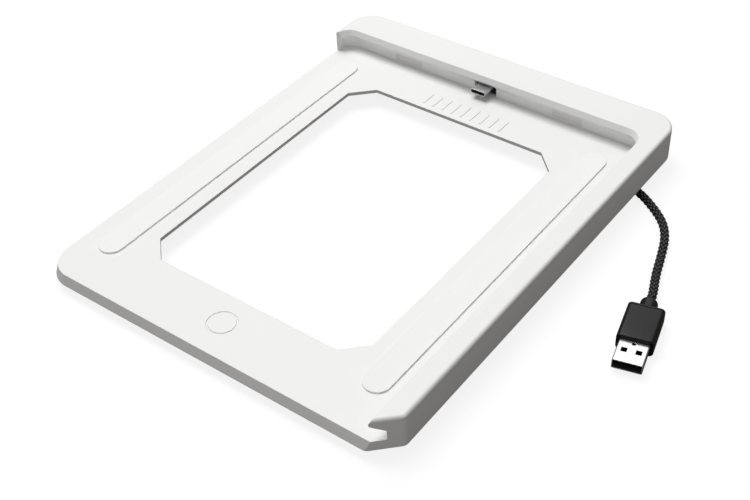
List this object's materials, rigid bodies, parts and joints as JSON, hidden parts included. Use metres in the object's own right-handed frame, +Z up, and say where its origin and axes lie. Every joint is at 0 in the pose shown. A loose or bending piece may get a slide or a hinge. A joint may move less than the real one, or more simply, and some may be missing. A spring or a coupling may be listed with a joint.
{
  "type": "tablet charging frame",
  "caption": "Flat white tray with a window, raised lip and side rail that hold a tablet against a fixed plug, with grip pads, feet and a short braided lead to a flat supply plug.",
  "frame": {"origin": "centre of the tray's footprint, on the surface that its feet stand on", "axes": "+X along the lip from its free end to the rail, +Y from the front edge to the lip, +Z up"},
  "size_m": [0.2319, 0.2264, 0.0202],
  "materials": {
    "white_plastic": "fine matt moulded white plastic",
    "cover_plastic": "fine matt moulded white plastic",
    "screw_steel": "zinc plated",
    "pad_rubber": "matt white silicone",
    "bumper_rubber": "pale grey silicone",
    "foot_rubber": "matt dark rubber",
    "plug_steel": "nickel plated sheet steel",
    "black_insulator": "satin",
    "contact_gold": "gold plated",
    "board": "solder mask",
    "black_overmould": "satin",
    "clamp_steel": "bare stamped sheet",
    "black_braid": "woven polyester braid",
    "grommet_rubber": "matt",
    "black_gloss": "satin black"
  },
  "bodies": {
    "root": {"frame": "white_plastic", "lip_cover": "cover_plastic", "cover_screws": "screw_steel", "left_grip_pad": "pad_rubber", "right_grip_pad": "pad_rubber", "left_bumper": "bumper_rubber", "right_bumper": "bumper_rubber", "rubber_feet": "foot_rubber", "plug_shell": "plug_steel", "plug_insulator": "black_insulator", "plug_contacts": "contact_gold", "plug_board": "board", "plug_body": "black_overmould", "plug_clamp": "clamp_steel", "clamp_screws": "screw_steel", "inner_lead": "black_braid", "lead_saddle": "black_overmould", "saddle_screws": "screw_steel", "exit_grommet": "grommet_rubber", "lead": "black_braid", "collar": "black_gloss", "supply_plug_body": "black_gloss", "supply_plug_shell": "plug_steel", "supply_plug_insulator": "black_insulator", "supply_plug_contacts": "contact_gold"}
  },
  "joints": []
}
